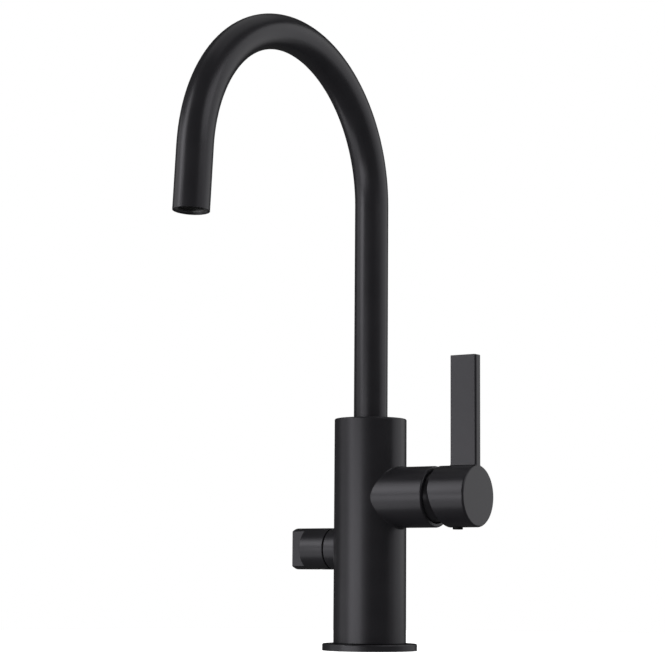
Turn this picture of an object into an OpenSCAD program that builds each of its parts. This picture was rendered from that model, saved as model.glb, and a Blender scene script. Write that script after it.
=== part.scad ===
// Kitchen mixer tap: a plain column with a tall swan-neck spout, a side lever
// on the right and a dishwasher shut-off knob on the left.
// Millimetres, +Z up. The origin is on the worktop plane, on the column's axis.
// The spout points along -Y, the lever's arm along +X, the shut-off along -X.

/* [Column] */
// Outer diameter of the column
column_d = 48; // [47:0.5:52]
// Wall of the column
column_wall = 3; // [2.6:0.1:3.4]
// Height of the column's top above the worktop
column_top = 152.5; // [152:0.5:175]
// Rounding of the outer edges of column, arm and hub
edge_r = 1; // [0.5:0.1:1.4]

/* [Base] */
// Diameter of the flange that stands on the worktop
flange_d = 62.5; // [60:0.5:80]
// Thickness of the flange
flange_t = 4.5; // [3.5:0.1:6]
// Thickness of the gasket let into the flange
gasket_t = 1.5; // [1:0.1:2]
// Width of the gasket's ring
gasket_w = 5; // [3:0.5:6]
// Diameter of the hole in the worktop
deck_hole_d = 35; // [35:0.5:36]
// Height of the inlet manifold's top above the worktop
manifold_top = 18; // [16:0.5:22]
// Tapping diameter of the M10x1 hose ports
port_d = 9; // [8.6:0.1:9.2]
// Depth of a hose port's thread
port_depth = 12; // [9:0.5:12]
// Distance of the hot and cold ports from the axis
port_circle_r = 11.5; // [11.2:0.1:11.9]
// Distance of the dishwasher outlet port from the axis
outlet_r = 12; // [11.5:0.1:12.4]

/* [Pipes] */
// Outer diameter of the copper risers
riser_d = 8; // [7:0.5:8]
// Wall of the copper pipes
riser_wall = 1; // [0.7:0.1:1.2]
// Outer diameter of the branch to the shut-off valve
branch_d = 6; // [5:0.5:6.5]
// Depth to which a riser enters its socket in the manifold
riser_seat = 4; // [3:0.5:4.5]
// Depth of the risers' heads below the arm's axis
riser_drop = 12; // [11:0.5:13]

/* [Deck fixing] */
// Thickness of the worktop that the clamp is drawn against
deck_t = 30; // [16:1:45]
// Diameter of the fixing stud
stud_d = 8; // [6:0.5:8]
// Length of the stud below the worktop plane
stud_drop = 75; // [75:1:100]
// Distance of the stud from the column's axis
stud_r = 13; // [12.5:0.1:13.4]
// Outer diameter of the horseshoe clamp
clamp_d = 54; // [52:1:60]
// Thickness of the steel horseshoe
clamp_t = 3; // [2:0.5:4]
// Thickness of the rubber horseshoe
pad_t = 3; // [2:0.5:4]
// Width of the slot for the hoses
clamp_slot = 35; // [34:0.5:36]
// Width of the fixing nut across its flats
nut_af = 13; // [12:0.5:14]
// Height of the fixing nut
nut_h = 8; // [6:0.5:10]

/* [Mixer arm] */
// Outer diameter of the arm and of the lever's hub
arm_d = 40; // [39.5:0.5:44]
// Length of the arm beyond the column's surface
arm_len = 27.5; // [26:0.5:32]
// Height of the arm's axis above the worktop
arm_z = 100; // [99:0.5:101]
// Depth of the cartridge's pocket behind the arm's end
pocket_depth = 33.5; // [33.5:0.5:36]

/* [Cartridge] */
// Diameter of the cartridge
cartridge_d = 35; // [34.5:0.1:35.2]
// Thickness of the cartridge's base plate
cart_base_t = 4; // [3.5:0.1:4.5]
// Thickness of the fixed ceramic disc
fixed_disc_t = 4; // [3:0.1:4.5]
// Thickness of the moving ceramic disc
moving_disc_t = 3.5; // [3:0.1:4]
// Diameter of the moving ceramic disc
moving_disc_d = 23; // [21:0.5:23]
// Bore of the water ways in the cartridge
water_way_d = 6.4; // [5.6:0.1:7]
// Distance of the lever's pivot behind the arm's end
pivot_back = 5.5; // [5.3:0.1:5.7]
// Wall of the domed cover
dome_wall = 1.5; // [1:0.1:2]
// Greatest tilt of the lever, in degrees
tilt_max = 22; // [18:1:22]

/* [Lever] */
// Distance from the column's axis to the hub's flat end, beyond the arm's end
hub_len = 31.5; // [29:0.5:34]
// Gap between arm and hub, down to where the hub's inner edge starts to slant
hub_gap = 4.4; // [4:0.1:5]
// Wall of the hub round the domed cover
hub_wall = 2; // [1.6:0.1:2.4]
// Height above the arm's axis at which the hub's inner edge starts to slant
slant_rise = 4; // [2:0.5:6]
// Slant of the hub's inner edge below that, in degrees
hub_slant = 14; // [13:0.5:16]
// Thickness of the hub's end wall
hub_end_t = 3.2; // [2.5:0.1:4]
// Width of the blade along the arm
blade_w = 19.2; // [14:0.1:20]
// Thickness of the blade
blade_t = 6.5; // [4:0.1:8]
// Rounding of the blade's two inner corners
blade_inner_r = 0.4; // [0.2:0.1:1]
// Height of the blade's top above the arm's axis
blade_top = 91.5; // [70:0.5:110]
// Side of the square lever stem
stem_w = 8; // [7:0.1:8]
// Distance of the stem's end from the hub's flat end
stem_back = 7.5; // [7:0.5:8]
// Wall of the boss that holds the stem
stem_boss_wall = 2; // [1.5:0.1:2.5]
// Distance of the boss from the lever's pivot
boss_reach = 16.5; // [15.5:0.5:17]
// Diameter of the set screws of lever and spout
grub_d = 5; // [4:0.5:5]
// Distance of the lever's set screw from the hub's flat end
grub_back = 15.5; // [15:0.1:16]
// Diameter of the plug that covers the lever's set screw
plug_d = 6.6; // [6:0.1:7]
// Height by which the plug stands out of the hub
plug_proud = 1.3; // [0.5:0.1:1.5]

/* [Shut-off] */
// Height of the shut-off's axis above the worktop
knob_z = 66.5; // [62:0.5:67]
// Diameter of the knob and of its stub on the column
knob_d = 27.6; // [27:0.2:30]
// Length of the stub beyond the column's surface
stub_len = 4.6; // [4:0.2:6]
// Gap between the stub and the knob
knob_gap = 0.9; // [0.5:0.1:1.2]
// Length of the knob
knob_len = 28.5; // [27:0.5:36]
// Length of the two flats milled on the knob's end
flat_len = 10; // [6:0.5:10.5]
// Thickness of the knob between its flats
flat_t = 15; // [13:0.5:20]
// Diameter of the valve block in the column
block_d = 26; // [25.5:0.5:27]
// Diameter of the headwork's thread
headwork_d = 18; // [17.5:0.1:18.5]
// Length of the headwork inside the stub and block
headwork_len = 22.4; // [21.5:0.1:23]
// Diameter of the spindle
spindle_d = 8; // [7:0.1:8.4]
// Length of the spindle that the knob grips
spindle_grip = 9.5; // [9:0.5:10]
// Length of the knob's set screw
knob_screw_len = 6; // [5:0.5:6.5]
// Thickness of each of the shut-off's ceramic discs
shut_disc_t = 2.5; // [2:0.1:2.8]

/* [Spout] */
// Outer diameter of the spout's tube
tube_d = 22.5; // [21.5:0.5:24]
// Wall of the spout's tube
tube_wall = 1.5; // [1.2:0.1:1.7]
// Radius of the bend, on the tube's centre line
bend_r = 96.5; // [80:0.5:115]
// Height at which the bend starts
bend_z = 296.5; // [220:0.5:340]
// Angle of the bend, in degrees
bend_angle = 176; // [165:1:180]
// Length of the straight end after the bend
tip_len = 40; // [25:1:60]
// Depth of the spout's socket in the column
socket_depth = 32.5; // [32:0.5:33]
// Length of the spigot inside the spout's tube
spigot_in = 10; // [6:0.5:14]
// Height of the lower O-ring above the socket's floor
spout_ring_up = 5; // [4:0.5:5.5]
// Distance between the two O-rings
spout_ring_pitch = 5.5; // [4:0.5:6]
// Swivel of the spout to each side, in degrees
swivel_max = 60; // [30:5:70]
// Distance of the retaining screw's axis below the slide ring
stop_drop = 7; // [6.5:0.5:7.5]
// Length of the aerator
aerator_len = 10; // [8:0.5:12]
// Depth of the aerator's face inside the tube's end
aerator_recess = 0.8; // [0.3:0.1:2]
// Diameter of the aerator's face
aerator_face_d = 16.2; // [14:0.2:16.6]

/* [Fits] */
// Radial clearance of everything that turns or slides
run = 0.05; // [0.03:0.01:0.08]
// Radial clearance of pieces that are screwed, brazed or pushed together
fit = 0.05; // [0.02:0.01:0.08]

/* [Hidden] */
$fn = 96;
cut = 1;

column_r = column_d / 2;
bore_r = column_r - column_wall;
neck_r = deck_hole_d / 2;
flange_edge = 0.8;

arm_r = arm_d / 2;
arm_end = column_r + arm_len;
seat_x = arm_end - pocket_depth;
seat_back = 2;
pocket_r = cartridge_d / 2 + 2 * fit;
cart_r = cartridge_d / 2 - 2 * fit;

// Ports of the manifold, each with the riser above it
hot_xy = [port_circle_r * cos(45), port_circle_r * sin(45)];
cold_xy = [hot_xy[0], -hot_xy[1]];
outlet_xy = [-outlet_r, 0];
stud_angle = 112.5;
stud_xy = [stud_r * cos(stud_angle), stud_r * sin(stud_angle)];
riser_r = riser_d / 2;
riser_bore = riser_r - riser_wall;
riser_foot = manifold_top - riser_seat;

// Water ways in the seat block, measured from the arm's axis
inlet_drop = 5;
mixed_rise = 9.5;
way_r = water_way_d / 2;
riser_head = arm_z - riser_drop;
mixed_x = 7;

// Cartridge, measured from the seat along the arm
base_top = cart_base_t;
fixed_top = base_top + fixed_disc_t;
moving_low = fixed_top + run;
moving_top = moving_low + moving_disc_t;
carrier_t = 5.5;
carrier_top = moving_top + carrier_t;
rotor_low = carrier_top + 0.2;
rotor_flange_top = rotor_low + 2.6;
shoulder = rotor_flange_top + 0.2;
shell_t = 2;
neck_low = shoulder + shell_t;
nut_top = pocket_depth - 2.5;
neck_top = nut_top - 1.5;
pivot_v = pocket_depth - pivot_back;
rotor_top = nut_top;
neck_bore = 11;
neck_out = 13;
housing_in = cart_r - 2.4;
seal_t = 1.4;
seal_w = 1.5;
ball_r = 3;
ball_v = carrier_top - 1.65;
ball_arm = pivot_v - ball_v;
disc_travel = ball_arm * sin(tilt_max);
pin_r = 2;
slot_half = stem_w / 2 / cos(tilt_max) + 0.25;
cavity_r = arm_r - hub_wall;
dome_r = cavity_r - 0.5;
mouth_r = dome_r + 2 * fit;
dome_hole_r = 12.6;

// Lever, measured from the column's axis
hub_end = arm_end + hub_len;
hub_cut_top = arm_end + hub_gap;
slant_z = arm_z + slant_rise;
hub_cut_low = hub_cut_top + (arm_r + slant_rise) * tan(hub_slant);
pivot_x = seat_x + pivot_v;
boss_start = pivot_x + boss_reach;
stem_end = hub_end - stem_back;
adapter_r = stem_w / 2 * sqrt(2) + 0.85;
boss_r = adapter_r + stem_boss_wall;
adapter_end = hub_end - hub_end_t - 2.3;
grub_r = grub_d / 2;
grub_x = hub_end - grub_back;
plug_r = plug_d / 2;
plug_depth = 3;
grub_len = arm_r - stem_w / 2 - plug_depth - 4;
screw_boss_r = plug_r + 1.7;
blade_in = hub_end - blade_w;

// Shut-off, measured from the valve's seat along -X
knob_r = knob_d / 2;
stub_end = column_r + stub_len;
valve_seat = stub_end - headwork_len;
block_r = block_d / 2;
block_back = 7.2;
headwork_r = headwork_d / 2;
sleeve_r = headwork_r - 1;
disc_room_r = sleeve_r - 0.95;
shut_disc_r = disc_room_r - 2 * run;
shut_seal_t = 1.5;
shut_moving_low = shut_seal_t + shut_disc_t + run;
spindle_foot = shut_moving_low + shut_disc_t;
spindle_foot_top = spindle_foot + 2.5;
disc_room_top = spindle_foot_top + 0.2;
sleeve_len = 11;
head_t = 3.6;
head_r = headwork_r + 0.6;
head_top = headwork_len + head_t;
spindle_r = spindle_d / 2;
clip_low = head_top + 0.3;
clip_t = 0.8;
knob_low = headwork_len + knob_gap;
knob_top = knob_low + knob_len;
knob_room = clip_low + clip_t + 1;
spindle_top = knob_room + spindle_grip;
knob_screw_u = knob_room + 5;
knob_screw_r = 2;
groove_u = 15;
o_ring_r = 0.54;

// Spout, measured from the worktop or, at its tip, from the end of the bend
tube_r = tube_d / 2;
tube_bore = tube_r - tube_wall;
spigot_r = tube_r - 0.25;
socket_r = spigot_r + run;
socket_floor = column_top - socket_depth;
slide_top = column_top - 3;
slide_low = slide_top - 5.5;
slide_out = tube_r + 1.75;
tube_low = slide_low + 0.2;
spigot_low = socket_floor + 0.3;
spigot_bore = tube_bore - 2.2;
stop_z = slide_low - stop_drop;
stop_tip_r = 1.6;
stop_floor = spigot_r - 1.6;
stop_low = stop_floor + 0.3;
stop_len = column_r - 2.3 - stop_low;
stop_half = swivel_max + asin(stop_tip_r / stop_floor) + 1;
spout_ring_r = 0.9;
spout_ring_z = [socket_floor + spout_ring_up, socket_floor + spout_ring_up + spout_ring_pitch];
tip_bore = tube_bore + 0.5;
aerator_end = tip_len - aerator_recess;
aerator_low = aerator_end - aerator_len;
aerator_seal_t = 1.5;

// Clamp under the worktop
slot_turn = stud_angle + 180;
hose_r = 6.4;
pad_low = -deck_t - pad_t;
plate_low = pad_low - clamp_t;
washer_t = 1.5;

black = "#2b2b2d";
brass = "#c9a858";
copper = "#b9714a";
steel = "#b4b6ba";
ceramic = "#eceae4";
rubber = "#1b1b1c";
polymer = "#d8d6cf";

// Places the children at distance v from the cartridge's seat, with their Z along the arm
module on_arm(v = 0) translate([seat_x + v, 0, arm_z]) rotate([0, 90, 0]) children();

// Places the children at distance u from the valve's seat, with their Z away from the column
module on_valve(u = 0) translate([-valve_seat - u, 0, knob_z]) rotate([0, -90, 0]) children();

// Places the children at the end of the bend, with their Z down the spout's tip
module on_tip(s = 0)
    translate([0, -bend_r, bend_z]) rotate([90, 0, 90]) rotate([0, 0, bend_angle])
        translate([bend_r, 0, 0]) rotate([-90, 0, 0]) translate([0, 0, s]) children();

// Turned bar along Z with rounded edges at its lower and upper end
module bar(r, h, low = 0, high = 0) rotate_extrude() {
    translate([0, low]) square([r, h - low - high]);
    if (low > 0) {
        square([r - low, low]);
        intersection() {
            translate([r - low, low]) circle(low);
            translate([r - low, 0]) square(low);
        }
    }
    if (high > 0) {
        translate([0, h - high]) square([r - high, high]);
        intersection() {
            translate([r - high, h - high]) circle(high);
            translate([r - high, h - high]) square(high);
        }
    }
}

// Plain ring along Z
module ring(inner, outer, h) difference() {
    cylinder(r = outer, h = h);
    translate([0, 0, -cut]) cylinder(r = inner, h = h + 2 * cut);
}

// Ring of round section, as an O-ring
module torus(centre_r, section_r) rotate_extrude() translate([centre_r, 0]) circle(section_r, $fn = 32);

// Socket for a hexagon key, cut downwards from the origin
module key_socket(af, depth) translate([0, 0, -depth]) cylinder(d = af / cos(30), h = depth + cut, $fn = 6);

// Rectangle with round corners, centred
module round_rect(w, h, r) {
    square([w - 2 * r, h], center = true);
    square([w, h - 2 * r], center = true);
    for (sx = [-1, 1], sy = [-1, 1])
        translate([sx * (w / 2 - r), sy * (h / 2 - r)]) circle(r, $fn = 48);
}

module base_flange() color(black) difference() {
    bar(flange_d / 2, flange_t, 0, flange_edge);
    translate([0, 0, -cut]) cylinder(r = neck_r + fit, h = flange_t + 2 * cut);
    translate([0, 0, -cut]) ring(bore_r + 1.5 - fit, bore_r + 1.5 + gasket_w + fit, gasket_t + cut);
}

module base_seal() color(rubber) ring(bore_r + 1.5, bore_r + 1.5 + gasket_w, gasket_t);

// Hollow of the column, left solid where the cartridge's seat block crosses it
module column_hollow() difference() {
    translate([0, 0, flange_t - cut]) cylinder(r = bore_r, h = socket_floor - 4 - flange_t + cut);
    translate([seat_back, 0, arm_z]) rotate([0, 90, 0]) cylinder(r = arm_r, h = column_d);
}

// Stepped hole in the column's top for the spout
module spout_socket() {
    translate([0, 0, socket_floor]) cylinder(r = socket_r, h = socket_depth);
    translate([0, 0, slide_low]) cylinder(r = slide_out + fit, h = slide_top - slide_low);
    translate([0, 0, slide_low]) cylinder(r = tube_r + 0.25, h = column_top - slide_low + cut);
    translate([0, 0, stop_z]) rotate([-90, 0, 0]) cylinder(r = grub_r + fit, h = column_r + cut);
}

// Drillings from the risers' sockets to the cartridge's face, and on to the spout
module seat_ways() {
    for (xy = [hot_xy, cold_xy]) translate([xy[0], xy[1], 0]) {
        translate([0, 0, arm_z - arm_r - cut]) cylinder(r = riser_r + fit, h = riser_head - arm_z + arm_r + cut);
        translate([0, 0, riser_head - cut]) cylinder(r = riser_bore, h = arm_z - inlet_drop - riser_head + cut);
        translate([0, 0, arm_z - inlet_drop]) rotate([0, 90, 0]) cylinder(r = way_r, h = seat_x - xy[0] + cut);
    }
    translate([mixed_x, 0, arm_z + mixed_rise]) {
        cylinder(r = 3.5, h = socket_floor - arm_z - mixed_rise + cut);
        rotate([0, 90, 0]) cylinder(r = way_r, h = seat_x - mixed_x + cut);
    }
}

module column_body() color(black) difference() {
    union() {
        translate([0, 0, flange_t]) bar(column_r, column_top - flange_t, 0.6, edge_r);
        translate([0, 0, arm_z]) rotate([0, 90, 0]) bar(arm_r, arm_end, 0, edge_r);
        translate([0, 0, knob_z]) rotate([0, -90, 0]) bar(knob_r, stub_end, 0, 0.4);
    }
    column_hollow();
    spout_socket();
    on_arm() cylinder(r = pocket_r, h = pocket_depth + cut);
    on_arm(nut_top) cylinder(r = mouth_r, h = pocket_depth - nut_top + cut);
    seat_ways();
    on_valve() cylinder(r = headwork_r + fit, h = headwork_len + cut);
}

module inlet_manifold() color(brass) difference() {
    union() {
        cylinder(r = neck_r, h = flange_t);
        translate([0, 0, flange_t]) cylinder(r = bore_r - fit, h = manifold_top - flange_t);
    }
    for (xy = [hot_xy, cold_xy, outlet_xy]) translate([xy[0], xy[1], 0]) {
        translate([0, 0, -cut]) cylinder(d = port_d, h = port_depth + cut);
        cylinder(r = riser_bore, h = manifold_top);
        translate([0, 0, riser_foot]) cylinder(r = riser_r + fit, h = riser_seat + cut);
    }
    translate([stud_xy[0], stud_xy[1], -cut]) cylinder(d = stud_d + 2 * fit, h = manifold_top - 3 + cut);
}

// Straight copper pipe from the manifold up to a height
module riser(xy, top) translate([xy[0], xy[1], riser_foot]) ring(riser_bore, riser_r, top - riser_foot);

module hot_riser() color(copper) riser(hot_xy, riser_head);

// End of the branch inside the valve block
branch_tip = -valve_seat + block_back - 3;

module cold_riser() color(copper) difference() {
    union() {
        riser(cold_xy, riser_head);
        translate([branch_tip, cold_xy[1], knob_z]) rotate([0, 90, 0])
            cylinder(d = branch_d, h = cold_xy[0] - branch_tip);
    }
    translate([branch_tip - cut, cold_xy[1], knob_z]) rotate([0, 90, 0])
        cylinder(d = branch_d - 2 * riser_wall, h = cold_xy[0] - branch_tip + cut);
    translate([cold_xy[0], cold_xy[1], riser_foot - cut]) cylinder(r = riser_bore, h = riser_head - riser_foot + 2 * cut);
}

// Top of the dishwasher riser, under the valve's chamber
outlet_head = knob_z - headwork_r - 0.5;

module outlet_riser() color(copper) riser(outlet_xy, outlet_head);

module valve_block() color(brass) difference() {
    intersection() {
        on_valve(-block_back) cylinder(r = block_r, h = column_r + block_back);
        cylinder(r = bore_r - fit, h = column_top);
    }
    on_valve() cylinder(r = headwork_r + fit, h = column_r);
    on_valve(-3) cylinder(r = 3, h = 4);
    translate([-valve_seat + 3, 0, knob_z]) rotate([90, 0, 0]) cylinder(r = 2, h = -cold_xy[1]);
    translate([-valve_seat + 3, cold_xy[1], knob_z]) rotate([0, 90, 0])
        cylinder(d = branch_d - 2 * riser_wall, h = block_back);
    translate([branch_tip, cold_xy[1], knob_z]) rotate([0, 90, 0])
        cylinder(d = branch_d + 2 * fit, h = block_back);
    translate([outlet_xy[0], 0, outlet_head]) cylinder(r = riser_bore, h = headwork_r);
    translate([outlet_xy[0], 0, 0]) cylinder(r = riser_r + fit, h = outlet_head);
}

module fixing_stud() color(steel) translate([stud_xy[0], stud_xy[1], -stud_drop]) difference() {
    bar(stud_d / 2, stud_drop + manifold_top - 3, 0.8, 0);
    translate([-stud_d, -0.6, -cut]) cube([2 * stud_d, 1.2, 1.5 + cut]);
}

// Outline of the horseshoe: a disc with a slot for the hoses and a hole for the stud
module horseshoe(stud_hole_r) difference() {
    circle(d = clamp_d);
    rotate(slot_turn) translate([-port_d / 2, -clamp_slot / 2]) square([clamp_d, clamp_slot]);
    for (xy = [hot_xy, outlet_xy]) translate(xy) circle(hose_r);
    translate(stud_xy) circle(stud_hole_r);
}

module clamp_rubber() color(rubber) translate([0, 0, pad_low])
    linear_extrude(pad_t) horseshoe(stud_d / 2 + 0.3);

module clamp_plate() color(steel) translate([0, 0, plate_low])
    linear_extrude(clamp_t) horseshoe(stud_d / 2 + 0.3);

module clamp_washer() color(steel) translate([stud_xy[0], stud_xy[1], plate_low - washer_t])
    ring(stud_d / 2 + 0.2, nut_af / 2 - 0.5, washer_t);

module fixing_nut() color(steel) translate([stud_xy[0], stud_xy[1], plate_low - washer_t - nut_h]) difference() {
    intersection() {
        cylinder(d = nut_af / cos(30), h = nut_h, $fn = 6);
        bar(nut_af / 2 + 0.6, nut_h, 0.9, 0.9);
    }
    translate([0, 0, -cut]) cylinder(r = stud_d / 2 + run, h = nut_h + 2 * cut);
}

// Places the children at the cartridge's three water ways
module at_ways() {
    for (y = [hot_xy[1], cold_xy[1]]) translate([inlet_drop, y, 0]) children();
    translate([-mixed_rise, 0, 0]) children();
}

module cartridge_base() color(polymer) on_arm() difference() {
    cylinder(r = cart_r, h = cart_base_t);
    at_ways() translate([0, 0, -cut]) cylinder(r = way_r, h = cart_base_t + 2 * cut);
    at_ways() translate([0, 0, -cut]) cylinder(r = way_r + seal_w + fit, h = seal_t + cut);
}

module cartridge_seals() color(rubber) on_arm() at_ways() ring(way_r, way_r + seal_w, seal_t);

module fixed_disc() color(ceramic) on_arm(base_top) difference() {
    cylinder(r = housing_in - 0.2, h = fixed_disc_t);
    at_ways() translate([0, 0, -cut]) cylinder(r = way_r, h = fixed_disc_t + 2 * cut);
}

// The moving disc lies below the axis when shut and rises as the lever tilts
module moving_disc() color(ceramic) on_arm(moving_low) translate([disc_travel / 2, 0, 0]) difference() {
    cylinder(d = moving_disc_d, h = moving_disc_t);
    translate([-2, 0, -cut]) cylinder(r = 5, h = moving_disc_t - 1.5 + cut);
}

module disc_carrier() color(polymer) on_arm(moving_top) difference() {
    translate([disc_travel / 2, 0, 0]) cylinder(d = moving_disc_d + 0.6, h = carrier_t);
    translate([0, 0, ball_v - ball_r - 0.2 - moving_top]) cylinder(r = ball_r + 0.15, h = carrier_t);
}

// Side view of the rotor's slot, with room for the stem to tilt about its pin
module stem_slot(low, high) polygon([
    [low, -slot_half],
    [pivot_v, -slot_half],
    [high, -slot_half - (high - pivot_v) * tan(tilt_max)],
    [high, slot_half],
    [pivot_v, slot_half],
    [low, slot_half + (pivot_v - low) * tan(tilt_max)]
]);

module cartridge_rotor() color(polymer) difference() {
    union() {
        on_arm(rotor_low) cylinder(r = housing_in - 0.2, h = rotor_flange_top - rotor_low);
        on_arm(rotor_flange_top) cylinder(r = neck_bore - run, h = rotor_top - rotor_flange_top);
    }
    translate([seat_x, 0, arm_z]) rotate([90, 0, 0])
        linear_extrude(stem_w + 0.4, center = true) stem_slot(rotor_low - cut, rotor_top + cut);
    translate([pivot_x, 0, arm_z]) rotate([90, 0, 0]) cylinder(r = pin_r, h = 4 * neck_bore, center = true);
}

module stem_pin() color(steel) translate([pivot_x, 0, arm_z]) rotate([90, 0, 0])
    cylinder(r = pin_r, h = 2 * neck_bore - 2.4, center = true);

module cartridge_housing() color(polymer) on_arm(base_top) difference() {
    union() {
        cylinder(r = cart_r, h = neck_low - base_top);
        cylinder(r = neck_out, h = neck_top - base_top);
    }
    translate([0, 0, -cut]) cylinder(r = housing_in, h = shoulder - base_top + cut);
    translate([0, 0, -cut]) cylinder(r = neck_bore, h = neck_top - base_top + 2 * cut);
}

module cartridge_nut() color(brass) on_arm(neck_low) difference() {
    cylinder(r = pocket_r - fit, h = nut_top - neck_low);
    translate([0, 0, -cut]) cylinder(r = neck_out + fit, h = nut_top - neck_low + 2 * cut);
    for (a = [0:60:300]) rotate(a) translate([neck_out - cut, -1.5, nut_top - neck_low - 1.2])
        cube([2.6 + cut, 3, 1.2 + cut]);
}

module dome_cap() color(black) on_arm(pivot_v) difference() {
    intersection() {
        sphere(dome_r);
        translate([0, 0, nut_top - pivot_v]) cylinder(r = arm_d, h = arm_d);
    }
    sphere(dome_r - dome_wall);
    cylinder(r = dome_hole_r, h = arm_d);
}

module lever_stem() color(steel) difference() {
    union() {
        on_arm(ball_v) sphere(ball_r);
        on_arm(ball_v) cylinder(r = 2, h = 3);
        translate([seat_x + ball_v + 2.6, -stem_w / 2, arm_z - stem_w / 2])
            cube([stem_end - seat_x - ball_v - 2.6, stem_w, stem_w]);
    }
    translate([pivot_x, 0, arm_z]) rotate([90, 0, 0]) cylinder(r = pin_r + run, h = 2 * stem_w, center = true);
}

module stem_adapter() color(polymer) difference() {
    translate([boss_start, 0, arm_z]) rotate([0, 90, 0]) cylinder(r = adapter_r, h = adapter_end - boss_start);
    translate([boss_start - cut, -stem_w / 2 - fit, arm_z - stem_w / 2 - fit])
        cube([adapter_end - boss_start + 2 * cut, stem_w + 2 * fit, stem_w + 2 * fit]);
    translate([grub_x, 0, arm_z - 2 * stem_w]) cylinder(r = grub_r + fit, h = 2 * stem_w);
}

// Blade seen from above: the corners on the hub's side of the face are rounded as the hub is
module blade_outline() {
    intersection() {
        round_rect(blade_w, blade_t, blade_inner_r);
        translate([-blade_w, -blade_t]) square([blade_w, 2 * blade_t]);
    }
    intersection() {
        round_rect(blade_w, blade_t, edge_r);
        translate([0, -blade_t]) square([blade_w, 2 * blade_t]);
    }
}

// Flat blade, its outer edge flush with the hub's end
module blade() {
    blade_low = arm_z + cavity_r + 0.4;
    intersection() {
        translate([blade_in + blade_w / 2, 0, blade_low])
            linear_extrude(arm_z + blade_top - blade_low) blade_outline();
        translate([blade_in + blade_w / 2, 0, arm_z]) rotate([90, 0, 0])
            linear_extrude(2 * blade_t, center = true) round_rect(blade_w, 2 * blade_top, edge_r);
    }
}

module lever_handle() color(black) difference() {
    union() {
        translate([arm_end, 0, arm_z]) rotate([0, 90, 0]) bar(arm_r, hub_len, 0, edge_r);
        blade();
    }
    // inner edge, upright at the top and slanted below, which lets the hub tilt past the arm
    rotate([90, 0, 0]) linear_extrude(2 * arm_d, center = true) polygon([
        [arm_end - cut, arm_z + arm_r + cut],
        [hub_cut_top, arm_z + arm_r + cut],
        [hub_cut_top, slant_z],
        [hub_cut_low + cut * tan(hub_slant), arm_z - arm_r - cut],
        [arm_end - cut, arm_z - arm_r - cut]
    ]);
    difference() {
        translate([arm_end - cut, 0, arm_z]) rotate([0, 90, 0]) cylinder(r = cavity_r, h = hub_len - hub_end_t + cut);
        translate([boss_start, 0, arm_z]) rotate([0, 90, 0]) cylinder(r = boss_r, h = hub_len);
        translate([grub_x, 0, arm_z - arm_r]) cylinder(r = screw_boss_r, h = arm_r);
    }
    translate([boss_start - cut, 0, arm_z]) rotate([0, 90, 0])
        cylinder(r = adapter_r + fit, h = adapter_end - boss_start + cut);
    translate([grub_x, 0, arm_z - arm_r - cut]) cylinder(r = grub_r + fit, h = arm_r + cut);
    translate([grub_x, 0, arm_z - arm_r - cut]) cylinder(r = plug_r + fit, h = plug_depth + cut);
}

module handle_set_screw() color(steel) translate([grub_x, 0, arm_z - stem_w / 2]) rotate([180, 0, 0]) difference() {
    cylinder(r = grub_r, h = grub_len);
    translate([0, 0, grub_len]) key_socket(grub_d / 2, 3);
}

module handle_screw_plug() color(black) translate([grub_x, 0, arm_z - arm_r - plug_proud])
    bar(plug_r, plug_proud + plug_depth, 0.5, 0);

module headwork_body() color(brass) on_valve() difference() {
    union() {
        translate([0, 0, 0.3]) cylinder(r = sleeve_r, h = sleeve_len);
        translate([0, 0, sleeve_len]) cylinder(r = headwork_r, h = headwork_len - sleeve_len);
        translate([0, 0, headwork_len]) intersection() {
            cylinder(r = head_r / cos(30), h = head_t, $fn = 6);
            bar(head_r + 0.6, head_t, 0, 0.8);
        }
    }
    translate([0, 0, -cut]) cylinder(r = disc_room_r, h = disc_room_top + cut);
    cylinder(r = spindle_r + run, h = head_top + cut);
    for (a = [0, 180]) rotate(a) translate([0, 0, shut_moving_low + 1.5]) rotate([0, 90, 0])
        cylinder(r = 1.5, h = headwork_r);
}

module headwork_seal() color(rubber) on_valve() ring(3.6, disc_room_r - fit, shut_seal_t);

// Disc of the shut-off valve with one quarter-turn window each side
module window_disc(turn) difference() {
    cylinder(r = shut_disc_r, h = shut_disc_t);
    for (a = [0, 180]) rotate(turn + a) translate([3.6, 0, -cut]) cylinder(r = 1.9, h = shut_disc_t + 2 * cut);
}

module headwork_fixed_disc() color(ceramic) on_valve(shut_seal_t) window_disc(0);

module headwork_moving_disc() color(ceramic) on_valve(shut_moving_low) window_disc(90);

module headwork_spindle() color(brass) on_valve() difference() {
    union() {
        translate([0, 0, spindle_foot]) cylinder(r = disc_room_r - 2 * run, h = spindle_foot_top - spindle_foot);
        translate([0, 0, spindle_foot]) bar(spindle_r, spindle_top - spindle_foot, 0, 0.5);
    }
    translate([0, 0, groove_u - 1.15]) ring(spindle_r - 2 * o_ring_r - 0.02, spindle_r + cut, 2.3);
    translate([0, 0, clip_low - 0.05]) ring(spindle_r - 0.8, spindle_r + cut, clip_t + 0.1);
}

module spindle_o_ring() color(rubber) on_valve(groove_u) torus(spindle_r - o_ring_r, o_ring_r);

module spindle_clip() color(steel) on_valve(clip_low) difference() {
    ring(spindle_r - 0.75, spindle_r + 1.6, clip_t);
    translate([-1.5, 0, -cut]) cube([3, 2 * spindle_d, clip_t + 2 * cut]);
}

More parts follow.
